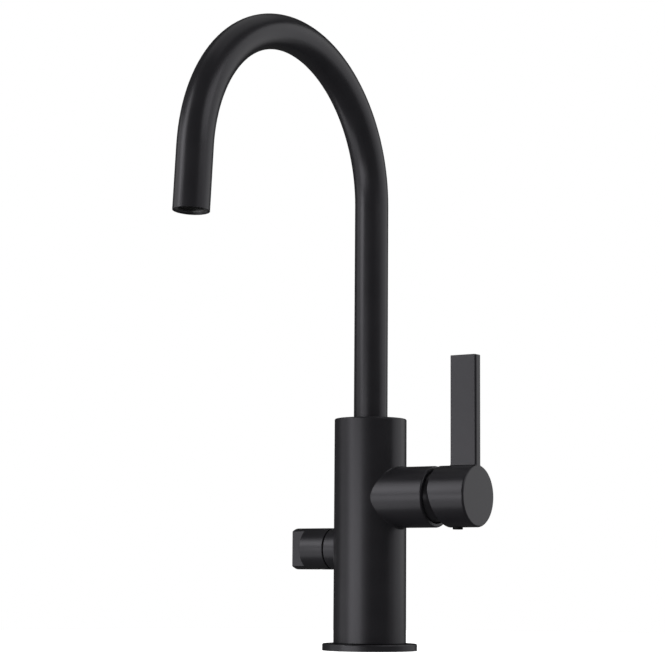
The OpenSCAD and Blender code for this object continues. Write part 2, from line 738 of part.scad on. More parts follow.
module shutoff_knob() color(black) on_valve(knob_low) difference() {
    bar(knob_r, knob_len, 0.4, 0.5);
    translate([0, 0, -cut]) cylinder(r = head_r / cos(30) + 0.5, h = knob_room - knob_low + cut);
    cylinder(r = spindle_r + fit, h = spindle_top + 0.3 - knob_low);
    for (side = [-1, 1]) translate([-knob_d, side * (flat_t / 2 + knob_d / 2) - knob_d / 2, knob_len - flat_len])
        cube([2 * knob_d, knob_d, flat_len + cut]);
    translate([0, 0, knob_screw_u - knob_low]) rotate([0, -90, 0]) cylinder(r = knob_screw_r + fit, h = knob_d);
}

module knob_set_screw() color(steel) on_valve(knob_screw_u) rotate([0, -90, 0])
    translate([0, 0, spindle_r + 0.05]) difference() {
        cylinder(r = knob_screw_r, h = knob_screw_len);
        translate([0, 0, knob_screw_len]) key_socket(knob_screw_r, 2);
    }

module spout_slide_ring() color(polymer) translate([0, 0, slide_low]) difference() {
    ring(tube_r + run, slide_out, slide_top - slide_low);
    translate([-slide_out - cut, -0.5, -cut]) cube([slide_out, 1, slide_top - slide_low + 2 * cut]);
}

module spout_retaining_screw() color(steel) translate([0, stop_low, stop_z]) rotate([-90, 0, 0]) difference() {
    union() {
        cylinder(r = stop_tip_r, h = stop_len / 2);
        translate([0, 0, 2.5]) cylinder(r = grub_r, h = stop_len - 2.5);
    }
    translate([0, 0, stop_len]) key_socket(grub_d / 2, 3);
}

module spout_spigot() color(brass) difference() {
    union() {
        translate([0, 0, spigot_low]) cylinder(r = spigot_r, h = tube_low - spigot_low);
        translate([0, 0, spigot_low]) cylinder(r = tube_bore - fit, h = tube_low + spigot_in - spigot_low);
    }
    translate([0, 0, spigot_low - cut]) cylinder(r = spigot_bore, h = tube_low + spigot_in - spigot_low + 2 * cut);
    for (z = spout_ring_z) translate([0, 0, z - 1.3])
        ring(spigot_r - 2 * spout_ring_r + 0.02, spigot_r + cut, 2.6);
    translate([0, 0, stop_z]) rotate(90 - stop_half) rotate_extrude(angle = 2 * stop_half)
        translate([stop_floor, -stop_tip_r - 0.2]) square([spigot_r, 2 * stop_tip_r + 0.4]);
}

module spout_o_rings() color(rubber) for (z = spout_ring_z)
    translate([0, 0, z]) torus(spigot_r + 0.03 - spout_ring_r, spout_ring_r);

// Solid swan neck of one radius, from a height on the riser to a length of the tip.
// The tip is a hair wider than the bend, as where the tube's end is sized.
module neck_rod(r, low, tip) {
    translate([0, 0, low]) cylinder(r = r, h = bend_z - low);
    translate([0, -bend_r, bend_z]) rotate([90, 0, 90]) rotate_extrude(angle = bend_angle)
        translate([bend_r, 0]) circle(r);
    on_tip(-0.1) cylinder(r = r + 0.02, h = tip + 0.1);
}

module spout_tube() color(black) difference() {
    neck_rod(tube_r, tube_low, tip_len);
    neck_rod(tube_bore, tube_low - cut, tip_len + cut);
    on_tip(aerator_low - aerator_seal_t) cylinder(r = tip_bore, h = tip_len);
}

module aerator_seal() color(rubber) on_tip(aerator_low - aerator_seal_t)
    ring(aerator_face_d / 2 - 1, tip_bore - fit, aerator_seal_t);

module aerator_housing() color(steel) on_tip(aerator_low) difference() {
    cylinder(r = tip_bore - fit, h = aerator_len);
    translate([0, 0, -cut]) cylinder(r = aerator_face_d / 2, h = aerator_len + 2 * cut);
}

// Insert with a grid of small holes that mixes air into the stream
module aerator_insert() color(black) on_tip(aerator_low + 1) difference() {
    cylinder(r = aerator_face_d / 2 - fit, h = aerator_len - 2);
    translate([0, 0, -cut]) cylinder(r = aerator_face_d / 2 - 1.2, h = aerator_len - 4);
    for (circle_n = [1:3], k = [0:6 * circle_n - 1]) rotate(60 * k / circle_n)
        translate([circle_n * aerator_face_d / 7.6, 0, 0]) cylinder(r = 0.7, h = aerator_len, $fn = 16);
    cylinder(r = 0.7, h = aerator_len, $fn = 16);
}

base_flange();
base_seal();
column_body();
inlet_manifold();
hot_riser();
cold_riser();
outlet_riser();
valve_block();
fixing_stud();
clamp_rubber();
clamp_plate();
clamp_washer();
fixing_nut();
cartridge_base();
cartridge_seals();
fixed_disc();
moving_disc();
disc_carrier();
cartridge_rotor();
stem_pin();
cartridge_housing();
cartridge_nut();
dome_cap();
lever_stem();
stem_adapter();
lever_handle();
handle_set_screw();
handle_screw_plug();
headwork_body();
headwork_seal();
headwork_fixed_disc();
headwork_moving_disc();
headwork_spindle();
spindle_o_ring();
spindle_clip();
shutoff_knob();
knob_set_screw();
spout_slide_ring();
spout_retaining_screw();
spout_spigot();
spout_o_rings();
spout_tube();
aerator_seal();
aerator_housing();
aerator_insert();
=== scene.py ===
"""Looks of a satin black kitchen tap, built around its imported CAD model. All sizes are in metres."""

import math

import bmesh
import bpy
from mathutils import Matrix, Vector


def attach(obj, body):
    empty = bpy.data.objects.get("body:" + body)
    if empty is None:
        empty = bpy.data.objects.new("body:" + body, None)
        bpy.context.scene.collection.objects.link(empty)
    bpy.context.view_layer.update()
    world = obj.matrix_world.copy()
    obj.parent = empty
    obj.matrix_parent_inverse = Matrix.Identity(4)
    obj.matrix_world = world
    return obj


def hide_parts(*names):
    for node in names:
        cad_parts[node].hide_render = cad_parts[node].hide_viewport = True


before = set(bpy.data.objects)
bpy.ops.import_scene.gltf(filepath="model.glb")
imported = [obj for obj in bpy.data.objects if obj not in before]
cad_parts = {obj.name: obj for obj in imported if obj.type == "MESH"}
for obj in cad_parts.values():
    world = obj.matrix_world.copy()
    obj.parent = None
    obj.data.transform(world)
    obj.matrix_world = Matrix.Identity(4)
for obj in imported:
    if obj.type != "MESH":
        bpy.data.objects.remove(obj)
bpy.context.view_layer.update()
scene = bpy.context.scene
scene.view_settings.view_transform = "Standard"


# Studio
# The tap stands on a white worktop in a plain studio, seen from its front right and from just above the
# worktop. Large soft lamps stand round it and one hangs above, and black cards between them keep most
# of the room's white out of its gloss.

class Wire:
    """A value in a finish's node tree: arithmetic on it adds the Math nodes."""

    def __init__(self, finish, socket):
        self.finish = finish
        self.socket = socket

    def maths(self, operation, first, second=0.0):
        return self.finish.node("ShaderNodeMath", {"operation": operation}, {0: first, 1: second})

    def __add__(self, other):
        return self.maths("ADD", self, other)

    def __radd__(self, other):
        return self.maths("ADD", other, self)

    def __sub__(self, other):
        return self.maths("SUBTRACT", self, other)

    def __rsub__(self, other):
        return self.maths("SUBTRACT", other, self)

    def __mul__(self, other):
        return self.maths("MULTIPLY", self, other)

    def __rmul__(self, other):
        return self.maths("MULTIPLY", other, self)

    def __truediv__(self, other):
        return self.maths("DIVIDE", self, other)

    def __rtruediv__(self, other):
        return self.maths("DIVIDE", other, self)

    def __pow__(self, other):
        return self.maths("POWER", self, other)

    def __rpow__(self, other):
        return self.maths("POWER", other, self)


class Finish:
    """The node tree of one finish, emptied of what Blender puts there."""

    def __init__(self, owner):
        self.owner = owner
        owner.use_nodes = True
        self.tree = owner.node_tree
        self.tree.nodes.clear()

    def node(self, kind, settings=None, sockets=None, out=0):
        """Adds a node: its settings first, then the values or links of its sockets."""
        made = self.tree.nodes.new(kind)
        for name, value in (settings or {}).items():
            if name == "stops":
                ramp = made.color_ramp
                while len(ramp.elements) < len(value):
                    ramp.elements.new(1.0)
                for stop, (place, shade) in zip(ramp.elements, value):
                    stop.position = place
                    stop.color = (*shade, 1.0)
            else:
                setattr(made, name, value)
        for name, value in (sockets or {}).items():
            if isinstance(value, Wire):
                self.tree.links.new(value.socket, made.inputs[name])
            else:
                made.inputs[name].default_value = value
        return Wire(self, made.outputs[out]) if made.outputs else None

    def surface(self, shader):
        """Ends the tree with the output that a material or a world has."""
        kind = "World" if isinstance(self.owner, bpy.types.World) else "Material"
        self.node("ShaderNodeOutput" + kind, None, {"Surface": shader})

    def principled(self, sockets):
        """Ends a material's tree with a Principled surface, and gives the material."""
        self.surface(self.node("ShaderNodeBsdfPrincipled", None, sockets))
        return self.owner


# Where the photo was taken from: a pinhole camera fitted to its edges, turned from the tap's front to
# its right. Its place is given on the worktop's plane, and its focal length in the photo's pixels.
PHOTO_WIDTH = 665
FOCAL_PIXELS = 2006.157
SENSOR_WIDTH = 36.0
CAMERA_TURN = math.radians(33.257)
CAMERA_AWAY = 1.33596
CAMERA_HEIGHT = 0.048344
CAMERA_PITCH = math.radians(6.924)
CAMERA_YAW = math.radians(1.11)
CAMERA_ROLL = math.radians(0.413)

camera = bpy.data.objects.new("camera", bpy.data.cameras.new("camera"))
scene.collection.objects.link(camera)
scene.camera = camera
camera.data.sensor_width = SENSOR_WIDTH
camera.data.lens = FOCAL_PIXELS / PHOTO_WIDTH * SENSOR_WIDTH
camera.data.clip_start = 0.05
place = Vector((math.sin(CAMERA_TURN) * CAMERA_AWAY, -math.cos(CAMERA_TURN) * CAMERA_AWAY, CAMERA_HEIGHT))
heading = CAMERA_TURN + CAMERA_YAW
ahead = Vector((-math.sin(heading) * math.cos(CAMERA_PITCH),
                math.cos(heading) * math.cos(CAMERA_PITCH), math.sin(CAMERA_PITCH)))
level_right = Vector((math.cos(heading), math.sin(heading), 0))
level_up = level_right.cross(ahead)
right = math.cos(CAMERA_ROLL) * level_right + math.sin(CAMERA_ROLL) * level_up
up = math.cos(CAMERA_ROLL) * level_up - math.sin(CAMERA_ROLL) * level_right
camera.matrix_world = Matrix((right, up, -ahead)).transposed().to_4x4()
camera.matrix_world.translation = place


def add_lamp(name, width, height, glow, place, turn):
    """A soft rectangular lamp, as bright per area as its glow, that the camera itself doesn't see."""
    lamp = bpy.data.lights.new(name, "AREA")
    lamp.shape = "RECTANGLE"
    lamp.size = width
    lamp.size_y = height
    lamp.energy = glow * math.pi * width * height
    holder = bpy.data.objects.new(name, lamp)
    scene.collection.objects.link(holder)
    holder.visible_camera = False
    holder.location = place
    holder.rotation_euler = turn


# The lamps stand on a ring round the tap, in panels no wider than a spread in degrees. Each lamp has
# its two ends in degrees from the tap's front to its right, its lower and upper end, and its glow.
# Some reach below the worktop's height, where the gloss of a real tap mirrors a pale floor.
LAMPS_AWAY = 1.2
PANEL_SPREAD = 20
UPRIGHT = math.radians(90)
LAMPS = {
    "lamp_front_low": (-36, 6, -0.12, 0.24, 1.75),
    "lamp_front_wide": (-75, 22, -0.12, 0.2, 0.58),
    "lamp_left_tall": (-46, -24, 0.36, 1.4, 2.1),
    "lamp_left_side": (-82, -24, 0.28, 0.85, 0.72),
    "lamp_left_floor": (-90, -14, -0.8, -0.15, 0.9),
    "lamp_right_high": (65, 105, 0.65, 1.3, 1.4),
    "lamp_right_side": (95, 165, 0.0, 1.3, 0.46),
    "lamp_back_tall": (115, 175, -0.3, 1.3, 0.33),
}
for name, (start, end, low, high, glow) in LAMPS.items():
    panels = math.ceil((end - start) / PANEL_SPREAD)
    spread = math.radians((end - start) / panels)
    for k in range(panels):
        angle = math.radians(start) + (k + 0.5) * spread
        place = (math.sin(angle) * LAMPS_AWAY, -math.cos(angle) * LAMPS_AWAY, (low + high) / 2)
        width = 2 * LAMPS_AWAY * math.tan(spread / 2)
        add_lamp(f"{name}_{k}", width, high - low, glow, place, (UPRIGHT, 0, angle))

TOP_LAMP_WIDTH = 1.2
TOP_LAMP_GLOW = 0.3
TOP_LAMP_PLACE = (-0.16, 0.25, 1.5)
add_lamp("lamp_top", TOP_LAMP_WIDTH, TOP_LAMP_WIDTH, TOP_LAMP_GLOW, TOP_LAMP_PLACE, (0, 0, 0))

# The worktop takes the tap's shadow. Its glow is for the camera alone, and lifts it to the room's white.
WORKTOP_RADIUS = 0.5
WORKTOP_SIDES = 96
WHITE = (1.0, 1.0, 1.0, 1.0)
WORKTOP_SHADE = (0.8, 0.8, 0.8, 1.0)
WORKTOP_GLOW = 0.87
table = bpy.data.objects.new("table", bpy.data.meshes.new("table"))
scene.collection.objects.link(table)
shape = bmesh.new()
bmesh.ops.create_circle(shape, cap_ends=True, segments=WORKTOP_SIDES, radius=WORKTOP_RADIUS)
shape.to_mesh(table.data)
shape.free()
table.visible_diffuse = False
table.visible_glossy = False
table.visible_shadow = False
worktop = Finish(bpy.data.materials.new("table_white"))
seen = worktop.node("ShaderNodeLightPath", out="Is Camera Ray")
matt = worktop.node("ShaderNodeBsdfDiffuse", None, {"Color": WORKTOP_SHADE})
shine = worktop.node("ShaderNodeEmission", None, {"Color": WHITE, "Strength": seen * WORKTOP_GLOW})
worktop.surface(worktop.node("ShaderNodeAddShader", None, {0: matt, 1: shine}))
table.data.materials.append(worktop.owner)

# The room is white to the camera and through glass. To the gloss it is as dark as its cards, and its
# walls send a softer light onto every surface.
CARD_SHADE = 0.04
AMBIENT = 0.5
scene.world = bpy.data.worlds.new("studio")
studio = Finish(scene.world)
seen = studio.node("ShaderNodeLightPath", out="Is Camera Ray")
through_glass = studio.node("ShaderNodeLightPath", out="Is Transmission Ray")
mirrored = studio.node("ShaderNodeLightPath", out="Is Glossy Ray")
scattered = studio.node("ShaderNodeLightPath", out="Is Diffuse Ray")
brightness = seen + through_glass + CARD_SHADE * mirrored + AMBIENT * scattered
studio.surface(studio.node("ShaderNodeBackground", None, {"Color": WHITE, "Strength": brightness}))


# Flange and gasket
# A turned brass ring that covers the edge of the worktop's hole, with a rubber gasket let in below.
# It is powder coated satin black, and the coat still shows the lathe's grooves round its rim.

def lathe_marks(finish, axis, through, pitch):
    """How high the lathe's fine grooves stand: they run round an axis through a point, pitch apart."""
    spot = finish.node("ShaderNodeTexCoord", out="Object")
    arm = finish.node("ShaderNodeVectorMath", {"operation": "SUBTRACT"}, {0: spot, 1: through})
    along = finish.node("ShaderNodeVectorMath", {"operation": "DOT_PRODUCT"}, {0: arm, 1: axis}, "Value")
    reach = finish.node("ShaderNodeVectorMath", {"operation": "LENGTH"}, {0: arm}, "Value")
    off_axis = (reach * reach - along * along) ** 0.5
    groove = finish.node("ShaderNodeCombineXYZ", None, {"X": along / pitch, "Y": off_axis / pitch})
    return finish.node("ShaderNodeTexNoise", {"noise_dimensions": "2D"},
                       {"Vector": groove, "Scale": 1.0, "Detail": 2.0})


def grain(finish, size, detail=2.0):
    """A soft random pattern whose patches are about size wide."""
    spot = finish.node("ShaderNodeTexCoord", out="Object")
    return finish.node("ShaderNodeTexNoise", None, {"Vector": spot, "Scale": 0.5 / size, "Detail": detail})


def tint(finish, stops, share):
    """A colour between those of the stops, each given with its place from 0 to 1."""
    return finish.node("ShaderNodeValToRGB", {"stops": stops}, {"Fac": share})


def uneven(finish, height, depth, strength=0.5):
    """The normal of a skin whose pattern stands up to depth high."""
    return finish.node("ShaderNodeBump", None, {"Strength": strength, "Distance": depth, "Height": height})


# The coat's tones in linear light, faintly violet as in the photo, and what it lends to its gloss.
COAT_DEEP = (0.0128, 0.0124, 0.0144)
COAT_PALE = (0.0172, 0.0167, 0.0192)
COAT_SHEEN = (1.0, 0.98, 1.05, 1.0)
COAT_ROUGHNESS = 0.27
FINE_MARKS = 0.00001


def satin_black(name, marks=None):
    """Baked powder coat: clouds in its tone, orange peel, and a fine grain that breaks up its gloss."""
    coat = Finish(bpy.data.materials.new(name))
    clouds = grain(coat, size=0.009)
    peel = grain(coat, size=0.0008, detail=1.0)
    pigment = grain(coat, size=0.00016)
    height = peel * 0.6 + pigment * 0.25
    if marks:
        height = height + marks(coat) * 0.5
    return coat.principled({
        "Base Color": tint(coat, [(0.35, COAT_DEEP), (0.65, COAT_PALE)], clouds * 0.5 + pigment * 0.5),
        "Roughness": COAT_ROUGHNESS + clouds * 0.03 + pigment * 0.04,
        "Specular Tint": COAT_SHEEN, "Normal": uneven(coat, height, FINE_MARKS)})


RUBBER_DARK = (0.012, 0.012, 0.012)
RUBBER_BLOOM = (0.030, 0.030, 0.029)


def moulded_rubber(name):
    """Black rubber, dull from the mould, with a bloom that greys it in patches."""
    rubber = Finish(bpy.data.materials.new(name))
    bloom = grain(rubber, size=0.004)
    mould = grain(rubber, size=0.0003)
    return rubber.principled({
        "Base Color": tint(rubber, [(0.35, RUBBER_DARK), (0.75, RUBBER_BLOOM)], bloom * 0.7 + mould * 0.3),
        "Roughness": 0.62 + bloom * 0.2, "Normal": uneven(rubber, mould, 0.00003, 0.6)})


def dress(finish, *names):
    """Gives the CAD pieces of these names a finish."""
    for name in names:
        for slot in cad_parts[name].material_slots:
            slot.material = finish


UP = (0, 0, 1)
MIDDLE = (0, 0, 0)
flange_coat = satin_black("flange_coat", lambda coat: lathe_marks(coat, UP, MIDDLE, pitch=0.0003))
dress(flange_coat, "base_flange")
rubber = moulded_rubber("rubber_seals")
dress(rubber, "base_seal")


# Column
# A brass body: an upright tube with the lever's arm and a short stub brazed on before it was coated.
# The coat rounds each inner corner, so a narrow fillet runs round the arm's foot and the stub's.

def solid(name, shape):
    """An object with a bmesh as its mesh, its faces turned outwards."""
    made = bpy.data.objects.new(name, bpy.data.meshes.new(name))
    scene.collection.objects.link(made)
    bmesh.ops.recalc_face_normals(shape, faces=shape.faces)
    shape.to_mesh(made.data)
    shape.free()
    return made


def add_piece(name, shape, finish, body, cuts=(), sharp=30):
    """Makes a piece of the tap from a bmesh, joined or cut with others. It moves with one of the bodies."""
    made = solid(name, shape)
    for operation, tool in cuts:
        cutter = solid("cutter", tool)
        cut = made.modifiers.new("cut", "BOOLEAN")
        cut.operation = operation
        cut.object = cutter
        shaped = made.evaluated_get(bpy.context.evaluated_depsgraph_get())
        made.data = bpy.data.meshes.new_from_object(shaped)
        made.modifiers.clear()
        bpy.data.objects.remove(cutter)
    made.data.shade_smooth()
    made.data.set_sharp_from_angle(angle=math.radians(sharp))
    made.data.materials.append(finish)
    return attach(made, body)


def bridge(shape, loops, round_again):
    """Joins closed loops of as many points each by quads, and the last to the first for a ring."""
    rows = [[shape.verts.new(point) for point in loop] for loop in loops]
    pairs = list(zip(rows, rows[1:])) + ([(rows[-1], rows[0])] if round_again else [])
    for lower, upper in pairs:
        for k in range(len(lower)):
            after = (k + 1) % len(lower)
            shape.faces.new((lower[k], lower[after], upper[after], upper[k]))
    return rows


COLUMN_RADIUS = 0.024
CORNER_SINK = 0.00002
CORNER_DEPTH = 0.0006
CORNER_TURNS = 180
CORNER_STEPS = 8


def corner_fillet(pipe_radius, height, side, fillet):
    """Ring in the corner between the column and a pipe along X: a ball that rolls round shapes its face."""
    loops = []
    reach = pipe_radius + fillet - CORNER_SINK
    out = COLUMN_RADIUS + fillet - CORNER_SINK
    for k in range(CORNER_TURNS):
        angle = 2 * math.pi * k / CORNER_TURNS
        y, rise = reach * math.cos(angle), reach * math.sin(angle)
        ball = Vector((math.sqrt(out * out - y * y), y, rise))
        to_column = Vector((-ball.x, -ball.y, 0)).normalized()
        to_pipe = Vector((0, -math.cos(angle), -math.sin(angle)))
        loop = [ball + fillet * to_column.slerp(to_pipe, j / CORNER_STEPS) for j in range(CORNER_STEPS + 1)]
        middle = (to_column + to_pipe).normalized()
        loop.append(ball + middle * (fillet / middle.dot(to_pipe) + CORNER_DEPTH))
        loops.append([Vector((side * point.x, point.y, height + point.z)) for point in loop])
    shape = bmesh.new()
    bridge(shape, loops, True)
    return shape


ARM_RADIUS = 0.020
ARM_HEIGHT = 0.100
ARM_FILLET = 0.0014
STUB_RADIUS = 0.0138
STUB_HEIGHT = 0.0665
STUB_FILLET = 0.0009
coat = satin_black("satin_black")
dress(coat, "column_body")
add_piece("arm_fillet", corner_fillet(ARM_RADIUS, ARM_HEIGHT, 1, ARM_FILLET), coat,
          "tap_body")
add_piece("stub_fillet", corner_fillet(STUB_RADIUS, STUB_HEIGHT, -1, STUB_FILLET), coat,
          "tap_body")


# Inlets and pipes
# A turned brass manifold closes the column's foot, with three M10 ports for the hoses. Copper pipes
# are brazed into it and into the column's seat block. A brass block in the column holds the shut-off.

BRASS_PALE = (0.80, 0.60, 0.32)
BRASS_DULL = (0.62, 0.43, 0.20)


def turned_brass(name, axis, through, pale=BRASS_PALE, dull=BRASS_DULL):
    """Brass from the lathe: grooves round its axis, and patches that have begun to dull."""
    brass = Finish(bpy.data.materials.new(name))
    marks = lathe_marks(brass, axis, through, pitch=0.00018)
    dulled = grain(brass, size=0.005, detail=4.0)
    return brass.principled({
        "Base Color": tint(brass, [(0.38, pale), (0.72, dull)], dulled * 0.8 + marks * 0.2),
        "Metallic": 1.0, "Roughness": 0.14 + dulled * 0.22 + marks * 0.1,
        "Normal": uneven(brass, marks, FINE_MARKS)})


COPPER_BRIGHT = (0.86, 0.47, 0.33)
COPPER_BROWN = (0.42, 0.19, 0.11)
DRAWN_LINES = (9000, 9000, 60)
FLAME_REACH = 0.012


def drawn_copper(name, braze_heights):
    """Drawn pipe: faint lines along it, and a brown tint where the flame of the brazing reached it."""
    copper = Finish(bpy.data.materials.new(name))
    spot = copper.node("ShaderNodeTexCoord", out="Object")
    stretched = copper.node("ShaderNodeVectorMath", {"operation": "MULTIPLY"}, {0: spot, 1: DRAWN_LINES})
    lines = copper.node("ShaderNodeTexNoise", None, {"Vector": stretched, "Scale": 1.0, "Detail": 1.0})
    patches = grain(copper, size=0.004, detail=3.0)
    height = copper.node("ShaderNodeSeparateXYZ", None, {0: spot}, "Z")
    burnt = 0.0
    for level in braze_heights:
        away = copper.node("ShaderNodeMath", {"operation": "ABSOLUTE"}, {0: height - level})
        near = copper.node("ShaderNodeMath", {"operation": "SUBTRACT", "use_clamp": True},
                           {0: 1.0, 1: away / FLAME_REACH})
        burnt = near + burnt
    stops = [(0.35, COPPER_BRIGHT), (1.0, COPPER_BROWN)]
    return copper.principled({
        "Base Color": tint(copper, stops, patches * 0.7 + burnt * 0.6),
        "Metallic": 1.0, "Roughness": 0.18 + patches * 0.2 + lines * 0.06,
        "Normal": uneven(copper, lines, FINE_MARKS, 0.4)})


ALONG_ARM = (1, 0, 0)
VALVE_AXIS = (0, 0, STUB_HEIGHT)
BRAZE_HEIGHTS = (0.018, STUB_HEIGHT, 0.088)
dress(turned_brass("manifold_brass", UP, MIDDLE), "inlet_manifold")
dress(turned_brass("block_brass", ALONG_ARM, VALVE_AXIS), "valve_block")
dress(drawn_copper("copper_pipe", BRAZE_HEIGHTS), "hot_riser", "cold_riser", "outlet_riser")


# Clamp under the worktop
# An M8 stud screws into the manifold. A rubber and a steel horseshoe leave room for the hoses, and a
# washer and a hexagon nut draw them up against the worktop. The steel is zinc plated.

ZINC_BRIGHT = (0.66, 0.67, 0.69)
ZINC_DULL = (0.42, 0.43, 0.44)
ZINC_YELLOW = (0.60, 0.57, 0.47)


def zinc_plated(name, axis, through):
    """Plated steel: bright where it is clean, clouded grey and faintly yellow elsewhere."""
    zinc = Finish(bpy.data.materials.new(name))
    marks = lathe_marks(zinc, axis, through, pitch=0.00035)
    clouds = grain(zinc, size=0.006, detail=4.0)
    spangle = grain(zinc, size=0.0006)
    stops = [(0.32, ZINC_DULL), (0.5, ZINC_BRIGHT), (0.72, ZINC_YELLOW)]
    return zinc.principled({
        "Base Color": tint(zinc, stops, clouds * 0.75 + spangle * 0.25),
        "Metallic": 1.0, "Roughness": 0.2 + clouds * 0.2 + spangle * 0.08,
        "Normal": uneven(zinc, marks * 0.7 + spangle * 0.3, FINE_MARKS)})


# The stud has an M8 thread, whose crests and roots are flat for a share of each pitch.
STUD_PLACE = Vector((-0.0049749, 0.0120104, 0))
STUD_RADIUS = 0.00397
STUD_LOW = -0.075
STUD_HIGH = 0.015
STUD_SIDES = 40
THREAD_ROOT = 0.00335
THREAD_PITCH = 0.00125
THREAD_ROWS = 8
THREAD_FLAT = 0.2
BEVEL_SINK = 0.0001
SLOT_WIDTH = 0.0013
SLOT_DEPTH = 0.0015
SLOT_LENGTH = 0.02
SAME_POINT = 0.0000005


def skin(loops, height=0.0):
    """A closed skin through loops of points, its first and last filled in, and lifted to its height."""
    shape = bmesh.new()
    rows = bridge(shape, [[Vector((x, y, height + z)) for x, y, z in loop] for loop in loops], False)
    shape.faces.new(rows[0])
    shape.faces.new(rows[-1])
    bmesh.ops.remove_doubles(shape, verts=shape.verts, dist=SAME_POINT)
    return shape


def threaded_stud():
    """Rod with a right-hand thread from end to end, and a bevel at each end."""
    rows = round((STUD_HIGH - STUD_LOW) / THREAD_PITCH * THREAD_ROWS)
    loops = []
    for row in range(rows + 1):
        z = STUD_LOW + (STUD_HIGH - STUD_LOW) * row / rows
        bevel = THREAD_ROOT - BEVEL_SINK + min(z - STUD_LOW, STUD_HIGH - z)
        loop = []
        for k in range(STUD_SIDES):
            angle = 2 * math.pi * k / STUD_SIDES
            phase = (z / THREAD_PITCH - k / STUD_SIDES) % 1.0
            flank = min(1.0, max(0.0, (1 + 2 * THREAD_FLAT) * abs(2 * phase - 1) - THREAD_FLAT))
            radius = min(THREAD_ROOT + (STUD_RADIUS - THREAD_ROOT) * flank, bevel)
            loop.append(STUD_PLACE + Vector((radius * math.cos(angle), radius * math.sin(angle), z)))
        loops.append(loop)
    return skin(loops)


stud_zinc = zinc_plated("stud_zinc", UP, STUD_PLACE)
slot_tool = bmesh.new()
bmesh.ops.create_cube(slot_tool, size=1.0, matrix=Matrix.Translation(STUD_PLACE + Vector((0, 0, STUD_LOW)))
                      @ Matrix.Diagonal((SLOT_LENGTH, SLOT_WIDTH, 2 * SLOT_DEPTH, 1)))
stud = add_piece("threaded_stud", threaded_stud(), stud_zinc, "tap_body",
                 [("DIFFERENCE", slot_tool)], sharp=50)
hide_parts("fixing_stud")
dress(stud_zinc, "clamp_washer", "fixing_nut")
ACROSS_PLATE = (0.924, 0.383, 0)
PLATE_PLACE = (0, 0, -0.03)
dress(zinc_plated("plate_zinc", ACROSS_PLATE, PLATE_PLACE), "clamp_plate")
dress(rubber, "clamp_rubber")


# Mixing cartridge
# A 35 mm cartridge sits in the arm: an acetal housing and rotor round two lapped ceramic discs, sealed
# on the seat by three rubber rings. A brass nut holds it down, its colour painted near black as painted
# shade for the gap it lies in, and a black dome covers its end.

ACETAL_PALE = (0.80, 0.79, 0.75)
ACETAL_DULL = (0.66, 0.65, 0.60)


def acetal(name):
    """Moulded acetal: slightly waxy, with faint flow marks."""
    plastic = Finish(bpy.data.materials.new(name))
    flow = grain(plastic, size=0.006, detail=1.0)
    mould = grain(plastic, size=0.0004)
    return plastic.principled({
        "Base Color": tint(plastic, [(0.3, ACETAL_PALE), (0.8, ACETAL_DULL)], flow * 0.8 + mould * 0.2),
        "Roughness": 0.36 + flow * 0.12, "Normal": uneven(plastic, mould, FINE_MARKS, 0.4)})


CERAMIC_PALE = (0.90, 0.89, 0.86)
CERAMIC_DULL = (0.80, 0.78, 0.73)


def lapped_ceramic(name):
    """Alumina, ground and lapped: nearly white, with the finest pits."""
    disc = Finish(bpy.data.materials.new(name))
    cloud = grain(disc, size=0.003)
    pits = grain(disc, size=0.00012, detail=3.0)
    return disc.principled({
        "Base Color": tint(disc, [(0.3, CERAMIC_PALE), (0.8, CERAMIC_DULL)], cloud * 0.6 + pits * 0.4),
        "Roughness": 0.1 + cloud * 0.1 + pits * 0.08, "Normal": uneven(disc, pits, 0.000005, 0.3)})


ARM_AXIS = (0, 0, ARM_HEIGHT)
# The nut's brass colours are painted shade: near black, for the shade in the gap round the dome.
NUT_SHADE_PALE = (0.035, 0.031, 0.026)
NUT_SHADE_DULL = (0.012, 0.011, 0.010)
white_acetal = acetal("white_acetal")
ceramic = lapped_ceramic("lapped_ceramic")
arm_steel = zinc_plated("arm_steel", ALONG_ARM, ARM_AXIS)
dress(white_acetal, "cartridge_base", "cartridge_housing", "cartridge_rotor", "disc_carrier")
dress(ceramic, "fixed_disc", "moving_disc")
dress(rubber, "cartridge_seals")
dress(arm_steel, "stem_pin")
dress(turned_brass("nut_painted_shade", ALONG_ARM, ARM_AXIS, NUT_SHADE_PALE, NUT_SHADE_DULL), "cartridge_nut")
dress(coat, "dome_cap")


# Lever
# The lever is one zinc casting: a round hub with a flat blade flush with its face, so the two outline a
# keyhole. It slides on the cartridge's square stem over an acetal adapter, and a set screw holds it
# from below, under a black plastic plug. It is coated like the column, which rounds every edge.

PLASTIC_DEEP = (0.006, 0.006, 0.0063)
PLASTIC_PALE = (0.013, 0.013, 0.013)


def black_moulding(name):
    """Dull black moulded plastic."""
    plastic = Finish(bpy.data.materials.new(name))
    flow = grain(plastic, size=0.003)
    mould = grain(plastic, size=0.0002)
    return plastic.principled({
        "Base Color": tint(plastic, [(0.3, PLASTIC_DEEP), (0.8, PLASTIC_PALE)], flow * 0.5 + mould * 0.5),
        "Roughness": 0.5 + flow * 0.14, "Specular IOR Level": 0.15,
        "Normal": uneven(plastic, mould, FINE_MARKS)})


def rounded(steps):
    """Steps round a rounded edge, each as the share it has gone forwards and has yet to go sideways."""
    turns = [math.pi / 2 * k / steps for k in range(steps + 1)]
    return [(1 - math.cos(turn), 1 - math.sin(turn)) for turn in turns]


def clock(radius, angle, y=0.0, z=0.0):
    """Point on a circle round y and z, at an angle that starts at its top."""
    return y + radius * math.sin(angle), z + radius * math.cos(angle)


